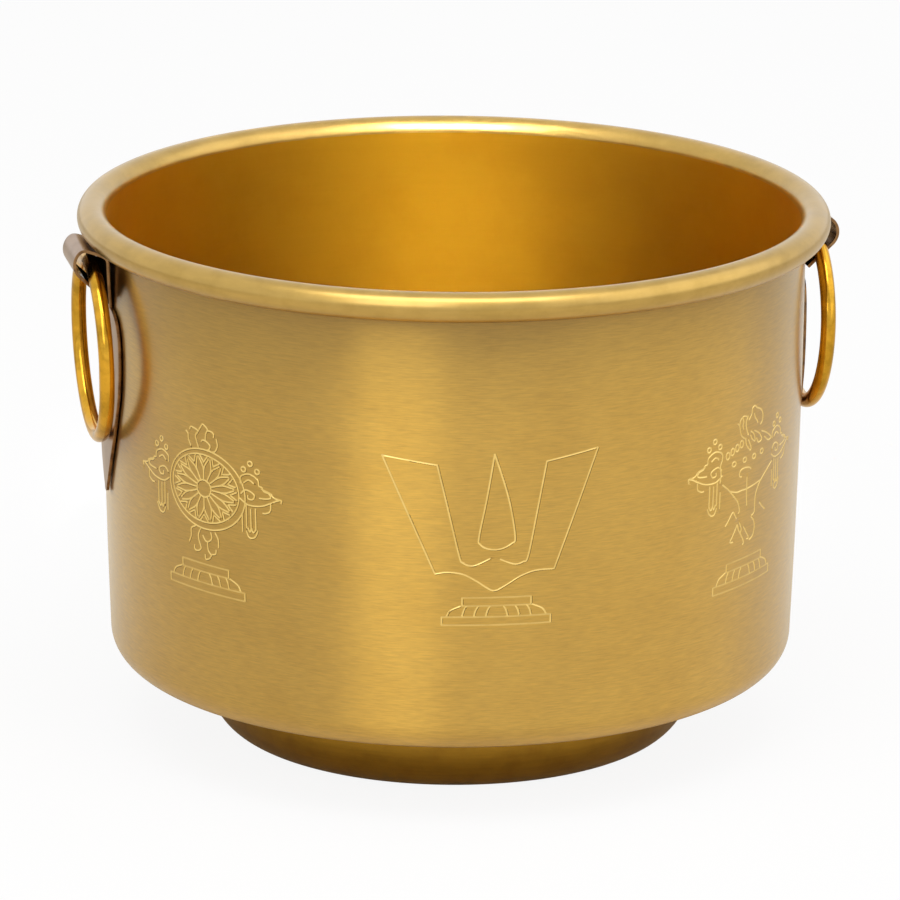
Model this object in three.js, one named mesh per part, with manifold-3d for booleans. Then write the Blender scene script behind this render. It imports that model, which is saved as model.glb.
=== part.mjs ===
// A small straight-sided brass bucket: a spun vessel with a rolled rim, a spun foot ring under it,
// and a wire ring handle on each side, hung in a sheet hanger with a leaf-shaped plate.
// Millimetres, +Z up. The origin is the centre of the foot's underside, and the handles lie on the X axis.
import * as THREE from "three";
import { mergeVertices } from "three/addons/utils/BufferGeometryUtils.js";
import Module from "manifold-3d";

const wasm = await Module();
wasm.setup();

// Vessel
const height = 144.6; // floor under the foot to the top of the rim
const rimDiameter = 200; // over the rolled rim
const beadDiameter = 7.8; // rolled rim, outside
const vesselSheet = 1.2;
const wallBaseDiameter = 183.1; // outside, where the wall turns into the corner
const wallBelly = 0.65; // how far the wall stands outside a straight taper at half height
const cornerRadius = 8; // outside, between the wall and the underside
const cornerHeight = 28; // where the wall turns into the corner
const undersideSlope = 8; // degrees, rising outwards round the foot
const baseDiameter = 124; // flat middle of the underside

// Foot ring
const footSheet = 1.2;
const footNeckDiameter = 132.2; // outside, at its top
const footRestDiameter = 110.4; // outside of the flat that it stands on
const footLipDiameter = 96; // inside of the turned-under lip
const coveRadius = 2.6; // between the neck and the flange under the vessel
const flangeEdge = 0.3; // thickness of the flange's thin edge

// Hangers
const hangerSheet = 0.8;
const strapWidth = 18;
const loopDiameter = 9.6; // outside
const loopStandOff = 0.6; // wall to the back of the loop
const loopDrop = 11.1; // top of the rim to the middle of the loop
const loopReturnAngle = 47; // degrees from upright, of the sheet end that closes the loop
const loopSquareness = 8; // how sharply the round loop turns into the flat that clears the rim
const leafTopDrop = 22.9; // top of the rim to the leaf's shoulders
const leafLength = 52.6; // shoulders to tip
const leafWidth = 33.4;
const leafTipRadius = 1.5;

// Rings
const wireDiameter = 4;
const ringDiameter = 51; // outside

const seatGap = 0.3; // between pieces that touch
const ringPlay = 0.15; // round the ring's wire, in its loop and where it rests on the leaf

// Number of steps round each form
const latheSteps = 64;
const wallSteps = 6;
const cornerSteps = 5;
const curlSteps = 14;
const footSteps = 8;
const coveSteps = 4;
const loopSteps = 20;
const leafSteps = 7;
const ringSteps = 40;
const wireSteps = 12;

const degree = Math.PI / 180;
const beadRadius = beadDiameter / 2;
const beadCentre = new THREE.Vector2(rimDiameter / 2 - beadRadius, height - beadRadius);
const wallTopRadius = rimDiameter / 2 - beadDiameter + vesselSheet; // outside
const wallBaseRadius = wallBaseDiameter / 2;
const baseRadius = baseDiameter / 2;

const brushedBrass = new THREE.MeshStandardMaterial({ color: 0xb8954e, metalness: 1, roughness: 0.4 });
const polishedBrass = new THREE.MeshStandardMaterial({ color: 0xd8a02c, metalness: 1, roughness: 0.15 });
const dullBrass = new THREE.MeshStandardMaterial({ color: 0x9a7b5c, metalness: 1, roughness: 0.3 });

// Outside radius of the wall at a height: a straight taper with a slight belly.
function wallRadius(z) {
  const up = (z - cornerHeight) / (beadCentre.y - cornerHeight);
  return wallBaseRadius + up * (wallTopRadius - wallBaseRadius) + 4 * up * (1 - up) * wallBelly;
}

// Points on an arc, angles in degrees, both ends included.
function arc(centre, radius, from, to, steps) {
  return Array.from({ length: steps + 1 }, (_, i) => {
    const angle = (from + ((to - from) * i) / steps) * degree;
    return new THREE.Vector2(centre.x + radius * Math.cos(angle), centre.y + radius * Math.sin(angle));
  });
}

// The wall from its base to the middle of the rolled rim, moved inwards by inset.
function wallLine(inset) {
  return Array.from({ length: wallSteps + 1 }, (_, i) => {
    const z = cornerHeight + ((beadCentre.y - cornerHeight) * i) / wallSteps;
    return new THREE.Vector2(wallRadius(z) - inset, z);
  });
}

const cornerCentre = new THREE.Vector2(wallBaseRadius - cornerRadius, cornerHeight);

// The corner under the wall, from the underside up to the wall, moved inwards by inset.
function cornerLine(inset) {
  return arc(cornerCentre, cornerRadius - inset, undersideSlope - 90, 0, cornerSteps);
}

// Height of the vessel's underside at a radius between the flat base and the corner.
const cornerFoot = cornerLine(0)[0];
function undersideHeight(radius) {
  return cornerFoot.y - (cornerFoot.x - Math.max(radius, baseRadius)) * Math.tan(undersideSlope * degree);
}

// Revolves a closed profile of (radius, height) points about the upright axis.
function revolve(profile) {
  return new THREE.LatheGeometry(profile, latheSteps).rotateX(Math.PI / 2);
}

// The sheet runs up the outside, curls outwards over the rim, and comes back down the inside.
function vesselGeometry() {
  const sheetRise = vesselSheet / Math.cos(undersideSlope * degree);
  const baseHeight = undersideHeight(baseRadius);
  const curlOpening = Math.acos((beadRadius - vesselSheet - seatGap) / beadRadius) / degree;
  const curlEnd = curlOpening - 180;
  const profile = [
    new THREE.Vector2(0, baseHeight),
    new THREE.Vector2(baseRadius, baseHeight),
    ...cornerLine(0),
    ...wallLine(0).slice(1),
    ...arc(beadCentre, beadRadius - vesselSheet, 180, curlEnd, curlSteps).slice(1),
    ...arc(beadCentre, beadRadius, curlEnd, 180, curlSteps),
    ...wallLine(vesselSheet).reverse().slice(1),
    ...cornerLine(vesselSheet).reverse().slice(1),
    new THREE.Vector2(baseRadius, baseHeight + sheetRise),
    new THREE.Vector2(0, baseHeight + sheetRise),
  ];
  return revolve(profile);
}

// A quarter ellipse from the flat rest up to the neck, a cove out to a thin flange under the vessel,
// and the same sheet back down inside to a lip turned under.
function footGeometry() {
  const neck = footNeckDiameter / 2;
  const rest = footRestDiameter / 2;
  const lip = footLipDiameter / 2;
  const flange = neck + coveRadius;
  const neckHeight = undersideHeight(flange) - seatGap - flangeEdge - coveRadius;
  const quarter = (inset) =>
    Array.from({ length: footSteps + 1 }, (_, i) => {
      const angle = ((i / footSteps) * Math.PI) / 2;
      return new THREE.Vector2(
        rest + (neck - rest - inset) * Math.sin(angle),
        neckHeight - (neckHeight - inset) * Math.cos(angle),
      );
    });
  const profile = [
    new THREE.Vector2(lip, 0),
    ...quarter(0),
    ...arc(new THREE.Vector2(flange, neckHeight), coveRadius, 180, 90, coveSteps).slice(1),
    new THREE.Vector2(flange, undersideHeight(flange) - seatGap),
    new THREE.Vector2(neck - footSheet, undersideHeight(neck - footSheet) - seatGap),
    ...quarter(footSheet).reverse(),
    new THREE.Vector2(lip, footSheet),
    new THREE.Vector2(lip, 0),
  ];
  return revolve(profile);
}

function solidOf(geometry) {
  geometry.deleteAttribute("normal");
  geometry.deleteAttribute("uv");
  const merged = mergeVertices(geometry, 1e-4);
  return new wasm.Manifold(
    new wasm.Mesh({
      numProp: 3,
      vertProperties: merged.attributes.position.array,
      triVerts: new Uint32Array(merged.index.array),
    }),
  );
}

function geometryOf(solid) {
  const mesh = solid.getMesh();
  const geometry = new THREE.BufferGeometry();
  geometry.setAttribute("position", new THREE.BufferAttribute(mesh.vertProperties, 3));
  geometry.setIndex(new THREE.BufferAttribute(mesh.triVerts, 1));
  geometry.computeVertexNormals();
  return geometry;
}

const loopCentre = new THREE.Vector2(wallTopRadius + loopStandOff + loopDiameter / 2, height - loopDrop);
const loopRadius = (loopDiameter - hangerSheet) / 2; // middle of the sheet

// Middle of the sheet where the strap leaves the plate, and how far the strap leans outwards from there.
const strapFoot = new THREE.Vector2(0, height - leafTopDrop - strapWidth / 6);
strapFoot.x = wallRadius(strapFoot.y) + seatGap + hangerSheet / 2;
const toLoop = loopCentre.clone().sub(strapFoot);
const strapLean = Math.atan2(toLoop.x, toLoop.y) - Math.asin(loopRadius / toLoop.length());

// The middle of the sheet round the loop, a full circle but for a flat that keeps it off the rolled rim.
const toBead = beadCentre.clone().sub(loopCentre);
const flatReach = toBead.length() - beadRadius - seatGap - hangerSheet / 2;
function loopPoint(angle) {
  const facing = Math.max(0, Math.cos(angle * degree - toBead.angle()));
  const drawnIn = (1 + ((loopRadius * facing) / flatReach) ** loopSquareness) ** (1 / loopSquareness);
  return arc(loopCentre, loopRadius / drawnIn, angle, angle, 1)[0];
}

// Where the sheet end stops, just short of the strap, on its way back from the loop.
function loopEnd() {
  const back = loopReturnAngle * degree;
  const start = loopPoint(-loopReturnAngle);
  const way = new THREE.Vector2(-Math.sin(back), -Math.cos(back));
  const strap = new THREE.Vector2(Math.sin(strapLean), Math.cos(strapLean));
  const fromFoot = start.clone().sub(strapFoot);
  const between = back - strapLean;
  const clear = (hangerSheet / 2) * (1 + Math.cos(between)) + seatGap;
  const distance = (fromFoot.x * strap.y - fromFoot.y * strap.x - clear) / Math.sin(between);
  return start.addScaledVector(way, distance);
}

// A closed outline of the sheet's thickness on both sides of its middle line.
function sheetOutline(line, thickness) {
  const side = (sign) =>
    line.map((point, i) => {
      const before = line[Math.max(i - 1, 0)];
      const after = line[Math.min(i + 1, line.length - 1)];
      const along = after.clone().sub(before).normalize();
      return new THREE.Vector2(
        point.x - (sign * along.y * thickness) / 2,
        point.y + (sign * along.x * thickness) / 2,
      );
    });
  return new THREE.Shape([...side(1), ...side(-1).reverse()]);
}

// The strap and its rolled loop: one line seen from the side, as wide as the strap.
function strapSolid() {
  const first = 180 - strapLean / degree;
  const step = (first + loopReturnAngle) / loopSteps;
  const loop = Array.from({ length: loopSteps + 1 }, (_, i) => loopPoint(first - i * step));
  const line = [strapFoot, ...loop, loopEnd()];
  const geometry = new THREE.ExtrudeGeometry(sheetOutline(line, hangerSheet), {
    depth: strapWidth,
    bevelEnabled: false,
  });
  return solidOf(geometry.rotateX(Math.PI / 2).translate(0, strapWidth / 2, 0));
}

// The leaf seen from in front: round shoulders, full sides, and a waist that runs out to a blunt tip.
function leafShape() {
  const half = leafWidth / 2;
  const top = height - leafTopDrop;
  const at = (share) => top - share * leafLength;
  const tip = new THREE.Vector2(0, at(1) + leafTipRadius);
  const right = new THREE.CurvePath();
  const bends = [
    [[strapWidth / 2, at(0)], [0.8 * half, at(0)], [half, at(0.07)], [half, at(0.24)]],
    [[half, at(0.24)], [half, at(0.44)], [0.86 * half, at(0.5)], [0.75 * half, at(0.6)]],
    [[0.75 * half, at(0.6)], [0.66 * half, at(0.68)], [0.3 * half, at(0.88)], [leafTipRadius, tip.y]],
  ];
  for (const bend of bends) {
    right.add(new THREE.CubicBezierCurve(...bend.map(([y, z]) => new THREE.Vector2(y, z))));
  }
  const side = right.curves.flatMap((curve, i) => curve.getPoints(leafSteps).slice(i ? 1 : 0));
  const tipArc = arc(tip, leafTipRadius, 0, -180, leafSteps).slice(1, -1);
  const left = side.map((point) => new THREE.Vector2(-point.x, point.y)).reverse();
  const neck = new THREE.Vector2(strapWidth / 2, top + hangerSheet);
  return new THREE.Shape([neck, ...side, ...tipArc, ...left, new THREE.Vector2(-neck.x, neck.y)]);
}

// The plate is cut from a shell that lies on the wall, so it has the wall's own curve.
function leafSolid() {
  const top = height - leafTopDrop + 2 * hangerSheet;
  const bottom = height - leafTopDrop - leafLength - hangerSheet;
  const side = (offset) =>
    Array.from({ length: wallSteps + 1 }, (_, i) => {
      const z = bottom + ((top - bottom) * i) / wallSteps;
      return new THREE.Vector2(wallRadius(z) + offset, z);
    });
  const inner = side(seatGap);
  const profile = [...side(seatGap + hangerSheet), ...inner.reverse()];
  profile.push(profile[0].clone());
  const shell = solidOf(revolve(profile));
  const depth = leafWidth;
  const prism = new THREE.ExtrudeGeometry(leafShape(), { depth, bevelEnabled: false });
  const axes = [new THREE.Vector3(0, 1, 0), new THREE.Vector3(0, 0, 1), new THREE.Vector3(1, 0, 0)];
  prism.applyMatrix4(new THREE.Matrix4().makeBasis(...axes));
  prism.translate(wallTopRadius - depth / 2, 0, 0);
  return shell.intersect(solidOf(prism));
}

function hangerGeometry() {
  return geometryOf(leafSolid().add(strapSolid()));
}

// The wire bows upwards inside the loop, so it needs more room there than its own thickness. The ring
// turns about the middle of that room, which sinks into the wedge between the strap and the sheet end.
const ringRadius = (ringDiameter - wireDiameter) / 2;
const wireDepth = ringDiameter / 2 - Math.sqrt((ringRadius - wireDiameter / 2) ** 2 - (strapWidth / 2) ** 2);
const wireRoom = wireDepth / 2 + ringPlay;
const loopBore = loopRadius - hangerSheet / 2;
const wedge = (loopReturnAngle * degree - strapLean) / 2;
const axisDown = (loopBore - wireRoom) / Math.sin(wedge);
const axisTilt = strapLean + wedge;
const hingeAxis = new THREE.Vector2(
  loopCentre.x - axisDown * Math.sin(axisTilt),
  loopCentre.y - axisDown * Math.cos(axisTilt),
);

// At rest the ring leans in until its lowest wire is on the leaf.
const ringDrop = (ringDiameter - wireDepth) / 2;
const hangLength = ringDrop + ringRadius;
const leafFace = wallRadius(hingeAxis.y - hangLength) + seatGap + hangerSheet;
const ringLean = Math.asin((hingeAxis.x - leafFace - wireDiameter / 2 - ringPlay) / hangLength);

function addMesh(parent, name, geometry, material) {
  const mesh = new THREE.Mesh(geometry, material);
  mesh.name = name;
  parent.add(mesh);
  return mesh;
}

const bucket = new THREE.Group();
addMesh(bucket, "vessel", vesselGeometry(), brushedBrass);
addMesh(bucket, "foot_ring", footGeometry(), brushedBrass);

const hanger = hangerGeometry();
const ring = new THREE.TorusGeometry(ringRadius, wireDiameter / 2, wireSteps, ringSteps).rotateY(Math.PI / 2);
for (const [side, turn] of [["right", 0], ["left", Math.PI]]) {
  const handle = new THREE.Group();
  handle.rotation.z = turn;
  bucket.add(handle);
  addMesh(handle, "hanger_" + side, hanger, dullBrass);

  const pivot = new THREE.Group();
  pivot.position.set(hingeAxis.x, 0, hingeAxis.y);
  pivot.rotation.y = ringLean;
  handle.add(pivot);
  const hoop = addMesh(pivot, "ring_" + side, ring, polishedBrass);
  hoop.position.z = -ringDrop;
}

console.log(
  "hinge axis at x " + hingeAxis.x.toFixed(3) + ", z " + hingeAxis.y.toFixed(3) +
    "; ring leans " + (ringLean / degree).toFixed(2) +
    " degrees; underside at z " + undersideHeight(0).toFixed(3),
);

export default bucket;
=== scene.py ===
import math
import bmesh
import bpy
from mathutils import Matrix, Vector, geometry, kdtree


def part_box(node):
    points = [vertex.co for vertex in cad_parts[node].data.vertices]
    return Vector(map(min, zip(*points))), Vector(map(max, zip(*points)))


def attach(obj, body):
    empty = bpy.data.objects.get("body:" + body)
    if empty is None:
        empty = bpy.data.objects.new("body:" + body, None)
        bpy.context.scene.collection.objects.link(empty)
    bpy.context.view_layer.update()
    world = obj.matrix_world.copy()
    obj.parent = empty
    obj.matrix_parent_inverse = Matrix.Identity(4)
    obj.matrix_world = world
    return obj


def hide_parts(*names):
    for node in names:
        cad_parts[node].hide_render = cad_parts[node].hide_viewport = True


# A small brass bucket with ring handles. Sizes in the dictionaries are millimetres and degrees.

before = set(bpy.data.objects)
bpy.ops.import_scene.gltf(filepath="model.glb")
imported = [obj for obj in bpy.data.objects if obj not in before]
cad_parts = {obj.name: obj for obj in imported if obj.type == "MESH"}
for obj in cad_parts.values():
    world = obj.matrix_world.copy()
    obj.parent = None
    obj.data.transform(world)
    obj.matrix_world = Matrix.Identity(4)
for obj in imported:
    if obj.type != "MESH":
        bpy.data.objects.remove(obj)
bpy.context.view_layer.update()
print("frame loaded with", len(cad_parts), "solids")
bpy.context.scene.view_settings.view_transform = "Standard"
mm = 0.001


# Camera

photoView = {
    "turn": -12.0,           # round the bucket, from straight in front of the engraved side
    "elevation": 16.05,
    "roll": 0.51,
    "distance": 1800.0,
    "aimHeight": 80.7,
    "aimPixel": (451.85, 431.01),   # where the aim point lies in the 900 pixel photograph
    "photoWidth": 900.0,
    "lens": 268.6,
    "sensor": 36.0,
    "sees": (0.05, 50.0),    # nearest and farthest, in metres
}


def addCamera(v):
    data = bpy.data.cameras.new("photoCamera")
    data.sensor_width = v["sensor"]
    data.lens = v["lens"]
    data.clip_start, data.clip_end = v["sees"]
    camera = bpy.data.objects.new("photoCamera", data)
    bpy.context.scene.collection.objects.link(camera)
    tilt = math.radians(v["elevation"])
    middle = v["photoWidth"] / 2
    lensInPixels = v["photoWidth"] / v["sensor"] * v["lens"]
    pan = math.atan((v["aimPixel"][0] - middle) / lensInPixels)
    nod = math.atan((v["aimPixel"][1] - middle) / lensInPixels)
    height = v["aimHeight"] + v["distance"] * math.sin(tilt)
    place = Vector((0, -v["distance"] * math.cos(tilt), height))
    camera.matrix_world = (
        Matrix.Rotation(math.radians(v["turn"]), 4, "Z")
        @ Matrix.Translation(place * mm)
        @ Matrix.Rotation(math.pi / 2 - tilt, 4, "X")
        @ Matrix.Rotation(pan, 4, "Y")
        @ Matrix.Rotation(nod, 4, "X")
        @ Matrix.Rotation(math.radians(v["roll"]), 4, "Z")
    )
    bpy.context.scene.camera = camera
    print("camera placed")


# Studio: a pale floor, a white surround and soft lamps

studio = {
    "floorWidth": 6000.0,
    "floorDrop": 0.05,            # below the foot, so that the two never share a plane
    "floorColour": (0.86, 0.855, 0.85),
    "floorShownWhite": 0.90,      # share of plain white in the floor that the camera sees
    "floorMirrored": (0.80, 0.76, 0.68),   # its colour in the brass
    "ambient": 0.62,
}

# direction and height as seen from the bucket, and the point that each is aimed at:
# how far beyond the middle, and how high
lamps = {
    "bandLamp": {
        "turn": -18.0, "rise": 34.0, "distance": 1500.0, "size": (640.0, 900.0),
        "watts": 3.8, "spread": 180.0, "beyond": 0.0, "aimHeight": 75.0,
    },
    "broadLamp": {
        "turn": -4.0, "rise": 68.0, "distance": 1500.0, "size": (1300.0, 700.0),
        "watts": 9.0, "spread": 180.0, "beyond": 0.0, "aimHeight": 75.0,
    },
    "rightLamp": {
        "turn": 78.0, "rise": 35.0, "distance": 1800.0, "size": (2600.0, 1800.0),
        "watts": 9.0, "spread": 180.0, "beyond": 0.0, "aimHeight": 75.0,
    },
    # a narrow beam over the front of the rim, on the far side of the inside
    "mouthLamp": {
        "turn": 2.0, "rise": 40.0, "distance": 900.0, "size": (125.0, 60.0),
        "watts": 0.23, "spread": 7.0, "beyond": 85.0, "aimHeight": 118.0,
    },
}


def rayKinds(nodes, links):
    # whether the camera sees the point itself, and whether it sees it mirrored or through something
    path = nodes.new("ShaderNodeLightPath")
    either = nodes.new("ShaderNodeMath")
    either.operation = "MAXIMUM"
    links.new(path.outputs["Is Glossy Ray"], either.inputs[0])
    links.new(path.outputs["Is Transmission Ray"], either.inputs[1])
    return path.outputs["Is Camera Ray"], either.outputs[0]


def paintWorld(s):
    world = bpy.data.worlds.new("whiteSurround")
    bpy.context.scene.world = world
    world.use_nodes = True
    nodes, links = world.node_tree.nodes, world.node_tree.links
    nodes.clear()
    seen, mirrored = rayKinds(nodes, links)
    shown = nodes.new("ShaderNodeMath")
    shown.operation = "MAXIMUM"
    links.new(seen, shown.inputs[0])
    links.new(mirrored, shown.inputs[1])
    strength = nodes.new("ShaderNodeMapRange")
    strength.inputs["To Min"].default_value = s["ambient"]
    strength.inputs["To Max"].default_value = 1.0
    links.new(shown.outputs[0], strength.inputs["Value"])
    background = nodes.new("ShaderNodeBackground")
    background.inputs["Color"].default_value = (1, 1, 1, 1)
    links.new(strength.outputs[0], background.inputs["Strength"])
    output = nodes.new("ShaderNodeOutputWorld")
    links.new(background.outputs[0], output.inputs["Surface"])


def floorMaterial(s):
    material = bpy.data.materials.new("paleFloor")
    material.use_nodes = True
    nodes, links = material.node_tree.nodes, material.node_tree.links
    nodes.clear()
    seen, mirrored = rayKinds(nodes, links)
    paper = nodes.new("ShaderNodeBsdfDiffuse")
    paper.inputs["Color"].default_value = (*s["floorColour"], 1)
    white = nodes.new("ShaderNodeEmission")
    white.inputs["Color"].default_value = (1, 1, 1, 1)
    shaded = nodes.new("ShaderNodeBsdfDiffuse")
    shaded.inputs["Color"].default_value = (*s["floorMirrored"], 1)
    whiter = nodes.new("ShaderNodeMixShader")
    share = nodes.new("ShaderNodeMath")
    share.operation = "MULTIPLY"
    share.inputs[1].default_value = s["floorShownWhite"]
    links.new(seen, share.inputs[0])
    links.new(share.outputs[0], whiter.inputs["Fac"])
    links.new(paper.outputs[0], whiter.inputs[1])
    links.new(white.outputs[0], whiter.inputs[2])
    inBrass = nodes.new("ShaderNodeMixShader")
    links.new(mirrored, inBrass.inputs["Fac"])
    links.new(whiter.outputs[0], inBrass.inputs[1])
    links.new(shaded.outputs[0], inBrass.inputs[2])
    output = nodes.new("ShaderNodeOutputMaterial")
    links.new(inBrass.outputs[0], output.inputs["Surface"])
    return material


def addFloor(s):
    mesh = bpy.data.meshes.new("floor")
    half = s["floorWidth"] / 2 * mm
    under = -s["floorDrop"] * mm
    corners = [
        (-half, -half, under), (half, -half, under), (half, half, under), (-half, half, under),
    ]
    mesh.from_pydata(corners, [], [(0, 1, 2, 3)])
    mesh.materials.append(floorMaterial(s))
    floor = bpy.data.objects.new("floor", mesh)
    bpy.context.scene.collection.objects.link(floor)
    print("floor and surround placed")


def addLamp(name, v):
    data = bpy.data.lights.new(name, "AREA")
    data.shape = "RECTANGLE"
    data.size = v["size"][0] * mm
    data.size_y = v["size"][1] * mm
    data.energy = v["watts"]
    data.spread = math.radians(v["spread"])
    lamp = bpy.data.objects.new(name, data)
    bpy.context.scene.collection.objects.link(lamp)
    around = math.radians(v["turn"] + photoView["turn"])
    up = math.radians(v["rise"])
    out = Vector((math.sin(around) * math.cos(up), -math.cos(around) * math.cos(up), math.sin(up)))
    beyond = Vector((-math.sin(around), math.cos(around), 0)) * v["beyond"]
    lamp.location = (beyond + Vector((0, 0, v["aimHeight"])) + out * v["distance"]) * mm
    lamp.rotation_euler = out.to_track_quat("Z", "Y").to_euler()
    lamp.visible_camera = False
    print(name, "placed")


# Finishes. All but the near black painted shade in the hanger loops are brass, each with its own
# polish, lines and tarnish; the top of the wall, the shaded sides of cuts, the loops' insides and
# the foot carry painted shade as well. On polished ones the roughness stays on one side of 0.274:
# where it crosses, a denoised render shows an edge.

finishes = {
    "brushedWall": {
        "colour": (0.62, 0.374, 0.060), "stain": (0.59, 0.350, 0.053), "stainSize": 26.0,
        "roughness": (0.43, 0.49), "stretch": 1.0, "lacquer": 1.0, "lacquerBlur": 0.20,
        "lines": (240.0, 240.0, 2800.0), "lineDepth": 0.006, "lineTone": 0.14,
        "paintedRimShade": (104.0, 138.0, 0.80),     # painted shade under the rolled rim: from which height to which it deepens, and how far
    },
    "polishedRim": {
        "colour": (0.52, 0.335, 0.085), "stain": (0.47, 0.30, 0.07), "stainSize": 9.0,
        "roughness": (0.28, 0.34), "stretch": 0.0, "lacquer": 0.4, "lacquerBlur": 0.15,
        "lines": (90.0, 90.0, 500.0), "lineDepth": 0.003, "lineTone": 0.07,
    },
    "spunInside": {
        "colour": (0.56, 0.300, 0.016), "stain": (0.53, 0.275, 0.014), "stainSize": 24.0,
        "roughness": (0.36, 0.40), "stretch": 0.0, "lacquer": 0.0, "lacquerBlur": 0.2,
        "lines": (60.0, 60.0, 900.0), "lineDepth": 0.0, "lineTone": 0.015,
    },
    "turnedFloor": {
        "turned": True,
        "colour": (0.58, 0.320, 0.028), "stain": (0.52, 0.275, 0.022), "stainSize": 22.0,
        "roughness": (0.33, 0.43), "stretch": 0.0, "lacquer": 0.0, "lacquerBlur": 0.2,
        "lines": (18.0, 18.0, 1300.0), "lineDepth": 0.002, "lineTone": 0.06,
    },
    "underside": {
        "turned": True,
        "colour": (0.56, 0.35, 0.10), "stain": (0.48, 0.29, 0.075), "stainSize": 16.0,
        "roughness": (0.34, 0.5), "stretch": 0.0, "lacquer": 0.2, "lacquerBlur": 0.2,
        "lines": (18.0, 18.0, 1300.0), "lineDepth": 0.004, "lineTone": 0.10,
    },
    "brightCut": {
        "colour": (0.90, 0.66, 0.22), "stain": (0.83, 0.59, 0.18), "stainSize": 5.0,
        "roughness": (0.28, 0.34), "stretch": 0.0, "lacquer": 0.3, "lacquerBlur": 0.2,
        "lines": (300.0, 300.0, 300.0), "lineDepth": 0.004, "lineTone": 0.05,
    },
    "levelCut": {
        "colour": (0.74, 0.52, 0.16), "stain": (0.68, 0.46, 0.13), "stainSize": 5.0,
        "roughness": (0.30, 0.40), "stretch": 0.0, "lacquer": 0.3, "lacquerBlur": 0.2,
        "lines": (300.0, 300.0, 300.0), "lineDepth": 0.004, "lineTone": 0.05,
    },
    # painted shade: the dark side of the full-depth cuts, standing in for the shade in the groove
    "cutShade": {
        "colour": (0.20, 0.11, 0.02), "stain": (0.17, 0.09, 0.016), "stainSize": 5.0,
        "roughness": (0.36, 0.46), "stretch": 0.0, "lacquer": 0.0, "lacquerBlur": 0.2,
        "lines": (300.0, 300.0, 300.0), "lineDepth": 0.004, "lineTone": 0.05,
    },
    # painted shade: the foot's brass is darker than the wall's, standing in for the shade under the
    # body
    "spunFootPaintedShade": {
        "colour": (0.37, 0.20, 0.018), "stain": (0.31, 0.16, 0.014), "stainSize": 9.0,
        "roughness": (0.28, 0.36), "stretch": 0.7, "lacquer": 0.15, "lacquerBlur": 0.15,
        "lines": (60.0, 60.0, 1500.0), "lineDepth": 0.005, "lineTone": 0.08,
    },
    "hangerSheet": {
        "colour": (0.43, 0.31, 0.225), "stain": (0.36, 0.25, 0.175), "stainSize": 12.0,
        "roughness": (0.28, 0.34), "stretch": 0.0, "lacquer": 0.0, "lacquerBlur": 0.2,
        "lines": (900.0, 120.0, 120.0), "lineDepth": 0.006, "lineTone": 0.06,
    },
    # painted shade: dark metal inside the loop and on the strap facing it, keeping its gloss
    "hangerInsidePaintedShade": {
        "colour": (0.16, 0.11, 0.075), "stain": (0.07, 0.045, 0.03), "stainSize": 4.0,
        "roughness": (0.20, 0.27), "stretch": 0.0, "lacquer": 0.0, "lacquerBlur": 0.12,
        "lines": (900.0, 120.0, 120.0), "lineDepth": 0.006, "lineTone": 0.06,
    },
    "hangerShade": {
        "metal": 0.0, "shine": 0.0,         # painted shade, near black, deep between the loop and the strap
        "colour": (0.022, 0.014, 0.008), "stain": (0.012, 0.008, 0.005), "stainSize": 4.0,
        "roughness": (0.6, 0.7), "stretch": 0.0, "lacquer": 0.0, "lacquerBlur": 0.12,
        "lines": (900.0, 120.0, 120.0), "lineDepth": 0.003, "lineTone": 0.06,
    },
    "hangerEdge": {
        "colour": (0.30, 0.17, 0.075), "stain": (0.13, 0.070, 0.035), "stainSize": 3.0,
        "roughness": (0.28, 0.36), "stretch": 0.0, "lacquer": 0.0, "lacquerBlur": 0.2,
        "lines": (400.0, 400.0, 400.0), "lineDepth": 0.006, "lineTone": 0.08,
    },
    "ringWire": {
        "colour": (0.76, 0.405, 0.038), "stain": (0.46, 0.25, 0.022), "stainSize": 9.0,
        "roughness": (0.12, 0.19), "stretch": 0.0, "lacquer": 0.0, "lacquerBlur": 0.2,
        "lines": (200.0, 200.0, 200.0), "lineDepth": 0.003, "lineTone": 0.04,
    },
}


# The two noises that every finish is made of
grain = {
    "lineDetail": 4.0,
    "lineHarshness": 0.6,
    "lineRange": (0.3, 0.7),       # values of the line noise between which tone and polish change
    "stainDetail": 5.0,
    "stainHarshness": 0.65,
    "stainRange": (0.36, 0.56),    # values of the stain noise from stained to clean
    "brushTurn": 0.25,             # the gloss stretches across the brush lines
}


def addNoise(nodes, scale, detail, harshness):
    noise = nodes.new("ShaderNodeTexNoise")
    noise.inputs["Scale"].default_value = scale
    noise.inputs["Detail"].default_value = detail
    noise.inputs["Roughness"].default_value = harshness
    return noise


def addRange(nodes, fromRange, toRange):
    node = nodes.new("ShaderNodeMapRange")
    node.inputs["From Min"].default_value, node.inputs["From Max"].default_value = fromRange
    node.inputs["To Min"].default_value, node.inputs["To Max"].default_value = toRange
    return node


def addVectorMath(nodes, operation):
    node = nodes.new("ShaderNodeVectorMath")
    node.operation = operation
    return node


def turnedPlace(nodes, links, spot):
    # the height gains the distance from the axis, so that lines run round on level parts too
    level = addVectorMath(nodes, "MULTIPLY")
    level.inputs[1].default_value = (1, 1, 0)
    reach = addVectorMath(nodes, "LENGTH")
    lift = nodes.new("ShaderNodeCombineXYZ")
    turned = addVectorMath(nodes, "ADD")
    links.new(spot, level.inputs[0])
    links.new(level.outputs[0], reach.inputs[0])
    links.new(reach.outputs["Value"], lift.inputs["Z"])
    links.new(spot, turned.inputs[0])
    links.new(lift.outputs[0], turned.inputs[1])
    return turned.outputs[0]


def scaled(nodes, links, colour, factor):
    product = addVectorMath(nodes, "SCALE")
    links.new(colour, product.inputs[0])
    links.new(factor, product.inputs["Scale"])
    return product.outputs[0]


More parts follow.
